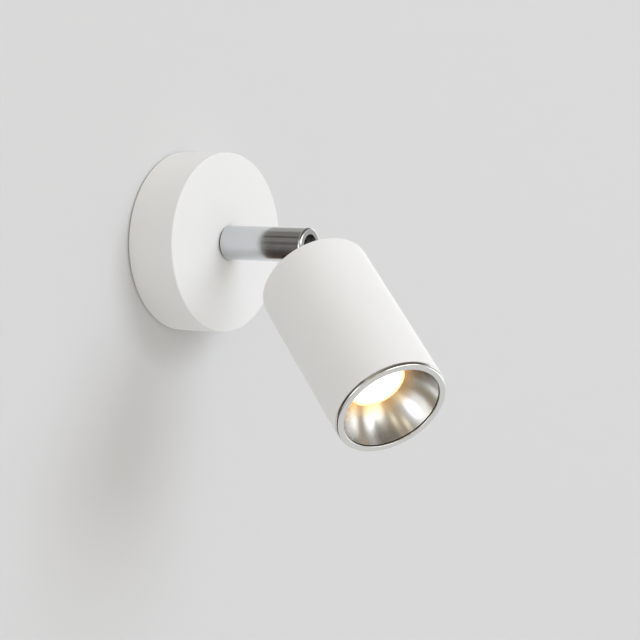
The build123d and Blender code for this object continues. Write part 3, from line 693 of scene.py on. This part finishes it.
def arc_through(first, belly, last, count):
    """Points on the circle through three section points."""
    a, b, c = Vector(first), Vector(belly), Vector(last)
    ab, ac = b - a, c - a
    cross = 2 * (ab.x * ac.y - ab.y * ac.x)
    ux = (ac.y * ab.length_squared - ab.y * ac.length_squared) / cross
    uy = (ab.x * ac.length_squared - ac.x * ab.length_squared) / cross
    centre = a + Vector((ux, uy))
    start = atan2(a.y - centre.y, a.x - centre.x)
    sweep = shorter_way(atan2(c.y - centre.y, c.x - centre.x) - start)
    turns = [start + sweep * k / (count - 1) for k in range(count)]
    return [centre + Vector((cos(t), sin(t))) * hypot(ux, uy) for t in turns]


half_circle = arc_through((1, 0), (0, 1), (-1, 0), count=5)
print("half a circle:", [(round(p.x, 2), round(p.y, 2)) for p in half_circle])

# %% [markdown]
# The reflector's section is a shallow arc from the lit disc to the mouth, with a small flange
# that the bezel clamps. A straight cone would be simpler, but it would mirror each lamp as a
# stripe of even width, where a belly gathers it into a patch. The wall is a millimetre thick and
# follows the same arc on its back.

# %% Reflector
mouth_radius = 26.4
flange_radius = 27.2
reflector_top = 98.7
belly_depth = 1.0
sheet = 1.0
mouth = Vector((mouth_radius, reflector_top))
throat = Vector((throat_radius, glow_height))
slope = (mouth - throat).normalized()
outward_normal = Vector((slope.y, -slope.x))
belly = (mouth + throat) / 2 + outward_normal * belly_depth
bowl = arc_through(throat, belly, mouth, count=48)
flange_back = reflector_top - sheet
flange = [Vector((flange_radius, reflector_top)), Vector((flange_radius, flange_back))]
bowl_back = arc_through(
    (mouth_radius + sheet / 2, flange_back),
    belly + outward_normal * sheet,
    (throat_radius + sheet, glow_height),
    count=24,
)
reflector_section = bowl + flange + bowl_back
turn_piece(
    "reflector_spun", reflector_section, spun_aluminium, "head", "reflector"
)

# %% [markdown]
# A small chrome collar covers the hole where the neck enters the housing. It could be a plain
# washer, but a turned collar is taller and has a rounded outer edge. It runs through the same
# lathe with fewer steps, because it is small.

# %% Neck collar
collar_bore = 3.55
collar_radius = 6.5
collar_rear = -3.5
collar_section = rounded_section(
    [
        (collar_bore, 0, 0),
        (collar_bore, collar_rear, 0.15),
        (collar_radius, collar_rear, 0.6),
        (collar_radius, 0, 0),
    ]
)
turn_piece(
    "neck_collar_turned",
    collar_section,
    head_chrome,
    "head",
    "neck_collar",
    steps=128,
)

# %% [markdown]
# All other solids already have the right shape, so they stay and only change their finish. Each
# could be named here with its finish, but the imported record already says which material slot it
# belongs to. Only the pieces with a finish of their own are listed.

# %% Finishes for the carried-over solids
own_finish = {
    "canopy": powder_coat,
    "arm_sleeve": arm_chrome,
    "knuckle": head_chrome,
    "diffuser": lit_acrylic,
}
slot_of = {part["node"]: part["material_slot"] for part in frame["record"]["subparts"]}
for name, solid in nodes.items():
    if solid.hide_render:
        continue
    finish = own_finish.get(name) or hidden_finishes[slot_of[name]]
    solid.data.materials.clear()
    solid.data.materials.append(finish)
print("solids with a finish:", sum(not solid.hide_render for solid in nodes.values()))

# %% [markdown]
# The lamp hangs on a plain pale wall, which catches its shadow and throws light back on the sides
# that face it. It could be a plain plane, but then a view from behind would show only its back.
# So its paint is clear from behind.

# %% Wall paint
wall_paint = bpy.data.materials.new("matt_wall_paint")
wall_paint.use_nodes = True
tree = wall_paint.node_tree
tree.nodes.clear()
matt = add_node(tree, "ShaderNodeBsdfDiffuse", {"Color": linear("#DCDCDC")})
clear = add_node(tree, "ShaderNodeBsdfTransparent")
behind = add_node(tree, "ShaderNodeNewGeometry").outputs["Backfacing"]
one_sided = add_node(
    tree, "ShaderNodeMixShader", {0: behind, 1: matt.outputs[0], 2: clear.outputs[0]}
)
add_node(tree, "ShaderNodeOutputMaterial", {"Surface": one_sided.outputs[0]})
print("finish:", wall_paint.name)

# %% [markdown]
# The wall has a round hole under the wall bracket, so that light reaches the back of the lamp and
# it isn't in the dark in a view from behind. The canopy covers the hole from the front. A pale
# floor lies far below for views from above. Metal mirrors neither of them, because it has a
# studio of its own further down.

# %% Wall and floor
backdrop_half = 3.0
wall_y = 0.0001
floor_z = -0.7
hole_radius = 0.044
hole_steps = 64


def backdrop(name, points, faces):
    """A painted sheet that takes shadows, but isn't mirrored and casts none."""
    mesh = bpy.data.meshes.new(name)
    mesh.from_pydata(points, [], faces)
    mesh.materials.append(wall_paint)
    plane = bpy.data.objects.new(name, mesh)
    bpy.context.scene.collection.objects.link(plane)
    for ray in ("glossy", "transmission", "shadow"):
        setattr(plane, "visible_" + ray, False)


wall_points, wall_faces = [], []
for k in range(hole_steps):
    x, z = cos(2 * pi * k / hole_steps), sin(2 * pi * k / hole_steps)
    reach = backdrop_half / max(abs(x), abs(z))
    wall_points += [(x * hole_radius, wall_y, z * hole_radius), (x * reach, wall_y, z * reach)]
    here, after = 2 * k, 2 * ((k + 1) % hole_steps)
    wall_faces.append((here, here + 1, after + 1, after))
backdrop("wall", wall_points, wall_faces)
floor_corners = [(-1, -1), (1, -1), (1, 1), (-1, 1)]
floor_points = [(x * backdrop_half, y * backdrop_half, floor_z) for x, y in floor_corners]
backdrop("floor", floor_points, [(0, 1, 2, 3)])
print("wall faces:", len(wall_faces))

# %% [markdown]
# One large soft lamp from the front, above and to the right, gives the shadow on the wall. A sun
# would give it a hard edge. The softbox stands far off, so that the wall is lit evenly, and it is
# a little cooler than the rest of the light, as daylight is indoors. Metal doesn't mirror it,
# because the studio below has panels of its own.

# %% Softbox
lamp_middle = Vector((-20, -80, -35)) * MM
key_direction = Vector((0.18, -0.86, 0.48)).normalized()
key_distance = 8.0
key_light = bpy.data.lights.new("key_softbox", "AREA")
key_light.shape = "SQUARE"
key_light.size = 4.8
key_light.energy = 270.0
key_light.color = linear("#EAF1FF")[:3]
key = bpy.data.objects.new("key_softbox", key_light)
key.location = lamp_middle + key_direction * key_distance
key.rotation_euler = (-key_direction).to_track_quat("-Z", "Y").to_euler()
key.visible_glossy = False
bpy.context.scene.collection.objects.link(key)
print("softbox at", [round(v, 2) for v in key.location])

# %% [markdown]
# Everything else comes from the world. A picture of a room could light it, but here the light is
# built from a few plain shapes. Each is a cone about a direction, with a soft edge between a wide
# and a narrow angle, and they are laid over each other like cards.

# %% Directions and cones
world = bpy.data.worlds.new("studio")
bpy.context.scene.world = world
world.use_nodes = True
studio = world.node_tree
studio.nodes.clear()
direction = add_node(studio, "ShaderNodeTexCoord").outputs["Generated"]
up, left = Vector((0, 0, 1)), Vector((-1, 0, 0))
front, back = Vector((0, -1, 0)), Vector((0, 1, 0))


def toward(azimuth, elevation):
    """Direction by its angle sideways from straight in front of the wall, and its height."""
    a, e = radians(azimuth), radians(elevation)
    return Vector((sin(a) * cos(e), -cos(a) * cos(e), sin(e)))


def soft_cone(aim, wide, narrow):
    """Mask: 0 outside the wide angle about a direction, 1 inside the narrow one, in degrees."""
    near = add_node(
        studio, "ShaderNodeVectorMath", {0: direction, 1: aim}, operation="DOT_PRODUCT"
    ).outputs["Value"]
    span = {"Value": near, "From Min": cos(radians(wide)), "From Max": cos(radians(narrow))}
    return add_node(studio, "ShaderNodeMapRange", span, interpolation_type="SMOOTHSTEP").outputs[0]


def layered(colour, layers):
    """Colours laid over the first one, each through its mask and with its strength."""
    for mask, code, strength in layers:
        card = [strength * v for v in linear(code)[:3]] + [1.0]
        sockets = {FACTOR: mask, COLOUR_A: colour, COLOUR_B: card}
        mixed = add_node(studio, "ShaderNodeMix", sockets, data_type="RGBA")
        colour = mixed.outputs[MIXED]
    return colour


print("straight in front of the wall:", [round(v, 3) for v in toward(0, 0)])

# %% [markdown]
# Matt surfaces only see the sum of the light around them. One colour all around would leave the
# paint flat. A warm dome that is brighter above than below gives it a soft fall from top to
# bottom.

# %% Dome for matt surfaces
dome_low, dome_high = "#C6C1B8", "#E1DDD5"
dome = layered(linear(dome_low), [(soft_cone(up, wide=120, narrow=60), dome_high, 1.0)])
print("dome from", dome_low, "below to", dome_high, "above")

# %% [markdown]
# Polished metal shows what stands around it, so it gets a studio to mirror: pale walls, a grey
# ceiling that is dark in front, and panels. Area lamps could make the panels, but they would also
# light the paint. In the world they are seen by metal alone. Each panel is placed where one
# bright or dark patch of the bowl, the bezel or the arm's end mirrors it.

# %% Studio for metal to mirror
# Aim, wide and narrow angle of the cone in degrees, colour, strength.
panels = [
    (toward(-170, -42), 34, 20, "#75604F", 1.0),  # brown side of the bezel, low on the left
    (toward(44, -36), 13, 7, "#FFFFFF", 2.8),  # white inner edge of the bezel
    (toward(62, 2), 18, 8, "#BCBBB6", 1.0),  # grey end face of the arm
    (toward(102, 6), 20, 9, "#FFFFFF", 2.0),  # white outer edge of that face
    (toward(-50, 14), 36, 18, "#BFAE95", 1.2),  # beige middle of the bowl
    (toward(-46, 46), 20, 8, "#5E5348", 1.0),  # dark low edge of the bowl
    (toward(-88, 31), 20, 10, "#8E7F6E", 1.2),  # brown low right of the bowl
    (toward(-100, -38), 28, 12, "#857262", 1.2),  # brown upper right of the bowl
    (toward(-117, -16), 24, 13, "#F0EFEC", 1.5),  # pale ground of the right patch
    (toward(-97, -7), 16, 8, "#FFFFFF", 2.9),  # white patch on the right
    (toward(-19, 9), 19, 12, "#FFFFFF", 3.4),  # white patch next to the disc
    (toward(7, 17), 18, 11, "#FFFFFF", 3.2),  # its lower end
    (toward(-80, 20), 7, 3, "#FFF3D6", 1.9),  # two small warm streaks
    (toward(-56, 22), 7, 3, "#FFF3D6", 1.9),
]
ceiling = soft_cone(up, wide=72, narrow=52)
front_ceiling = add_node(
    studio,
    "ShaderNodeMath",
    {0: ceiling, 1: soft_cone(front, wide=107, narrow=84)},
    operation="MULTIPLY",
).outputs[0]
room = layered(linear("#ECECEA"), [(ceiling, "#B4B4AF", 1.0), (front_ceiling, "#6E6459", 1.0)])
for aim, wide, narrow, code, strength in panels:
    room = layered(room, [(soft_cone(aim, wide, narrow), code, strength)])
print("panels:", len(panels))

# %% [markdown]
# The outer half of the arm mirrors a dim corner of the room, behind the lamp on the left. A plain
# dark card would look like paint on the arm. The corner is lighter above than below and has a few
# level streaks, which the arm draws out along its length.

# %% Dim corner
ray_height = add_node(studio, "ShaderNodeSeparateXYZ", {0: direction}).outputs["Z"]
streaks = add_node(
    studio,
    "ShaderNodeTexNoise",
    {"W": ray_height, "Scale": 7.0, "Detail": 1.0},
    noise_dimensions="1D",
).outputs["Fac"]
streak_mask = add_node(
    studio,
    "ShaderNodeMapRange",
    {"Value": streaks, "From Min": 0.5, "From Max": 0.62},
    interpolation_type="SMOOTHSTEP",
).outputs[0]
corner_top = soft_cone(up, wide=134, narrow=46)
corner = layered(
    linear("#4C433F"), [(corner_top, "#827D77", 1.0), (streak_mask, "#3E3733", 1.0)]
)
at_corner = soft_cone(back, wide=61, narrow=56.5)
for limit in (soft_cone(left, wide=104, narrow=89), soft_cone(up, wide=154, narrow=143)):
    at_corner = add_node(
        studio, "ShaderNodeMath", {0: at_corner, 1: limit}, operation="MULTIPLY"
    ).outputs[0]
room = add_node(
    studio,
    "ShaderNodeMix",
    {FACTOR: at_corner, COLOUR_A: room, COLOUR_B: corner},
    data_type="RGBA",
).outputs[MIXED]
print("studio nodes:", len(studio.nodes))

# %% [markdown]
# The last step sorts the rays. One that comes from polished or clear pieces sees the studio, one
# from a matt surface sees the dome, and the camera sees a pale grey like the wall's where the
# wall ends. A scene has only one world, but the Light Path node tells the rays apart.

# %% Which ray sees what
rays = add_node(studio, "ShaderNodeLightPath").outputs
mirrored = add_node(
    studio,
    "ShaderNodeMath",
    {0: rays["Is Glossy Ray"], 1: rays["Is Transmission Ray"]},
    operation="MAXIMUM",
).outputs[0]
seen = add_node(
    studio,
    "ShaderNodeMix",
    {FACTOR: mirrored, COLOUR_A: dome, COLOUR_B: room},
    data_type="RGBA",
).outputs[MIXED]
seen = layered(seen, [(rays["Is Camera Ray"], "#DADADA", 1.0)])
background = add_node(studio, "ShaderNodeBackground", {"Color": seen, "Strength": 1.0})
add_node(studio, "ShaderNodeOutputWorld", {"Surface": background.outputs[0]})
print("world nodes:", len(studio.nodes))

# %% [markdown]
# The standard view transform shows a colour as it is written.

# %% View transform
bpy.context.scene.view_settings.view_transform = "Standard"
